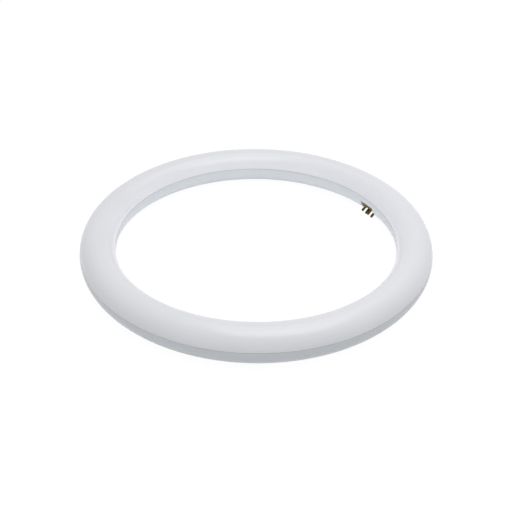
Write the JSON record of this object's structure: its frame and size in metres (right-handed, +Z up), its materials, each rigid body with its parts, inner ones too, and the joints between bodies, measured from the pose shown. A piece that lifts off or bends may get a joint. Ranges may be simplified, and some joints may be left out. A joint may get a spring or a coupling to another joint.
{
  "type": "circular led tube",
  "caption": "Ring-shaped LED tube lamp: milky diffuser over a white back shell, with a four-pin base angled inwards.",
  "frame": {"origin": "centre of the ring, in the plane of the tube's centreline", "axes": "+Z up through the ring on the diffuser's side, +X from the centre to the base with the pins"},
  "size_m": [0.3, 0.3, 0.0313],
  "materials": {
    "milky_diffuser": "satin, milky",
    "white_housing": "satin, moulded",
    "brown_phenolic": "matt, moulded",
    "pin_brass": "turned, slightly dulled",
    "lamp_board": "white solder mask",
    "light_source": "phosphor",
    "link_nylon": "moulded",
    "screw_steel": "zinc plated",
    "driver_laminate": "green solder mask",
    "amber_film": "polyimide film",
    "fuse_coating": "coated",
    "varistor_coating": "epoxy coated",
    "choke_winding": "shrink sleeve over a wound drum",
    "film_case": "moulded",
    "ferrite": "matt",
    "coil_tape": "taped winding",
    "can_sleeve": "sleeved can",
    "chip_epoxy": "moulded epoxy",
    "white_wire": "wire insulation",
    "red_wire": "wire insulation",
    "black_wire": "wire insulation"
  },
  "bodies": {
    "root": {"diffuser": "milky_diffuser", "back_housing": "white_housing", "pin_plate": "brown_phenolic", "pin_1": "pin_brass", "pin_2": "pin_brass", "pin_3": "pin_brass", "pin_4": "pin_brass", "led_board_1": "lamp_board", "led_board_2": "lamp_board", "led_board_3": "lamp_board", "led_board_4": "lamp_board", "leds_1": "light_source", "leds_2": "light_source", "leds_3": "light_source", "leds_4": "light_source", "board_link_1": "link_nylon", "board_link_2": "link_nylon", "board_link_3": "link_nylon", "board_screws": "screw_steel", "driver_screws": "screw_steel", "driver_board": "driver_laminate", "insulating_film": "amber_film", "fuse_resistor": "fuse_coating", "varistor": "varistor_coating", "input_choke": "choke_winding", "film_capacitor": "film_case", "transformer_core": "ferrite", "transformer_coil": "coil_tape", "input_capacitor": "can_sleeve", "output_capacitor": "can_sleeve", "bridge_rectifier": "chip_epoxy", "controller_chip": "chip_epoxy", "output_diode": "chip_epoxy", "chip_parts": "chip_epoxy", "input_lead_1": "white_wire", "input_lead_2": "white_wire", "input_lead_3": "white_wire", "input_lead_4": "white_wire", "output_lead_1": "red_wire", "output_lead_2": "black_wire"}
  },
  "joints": []
}
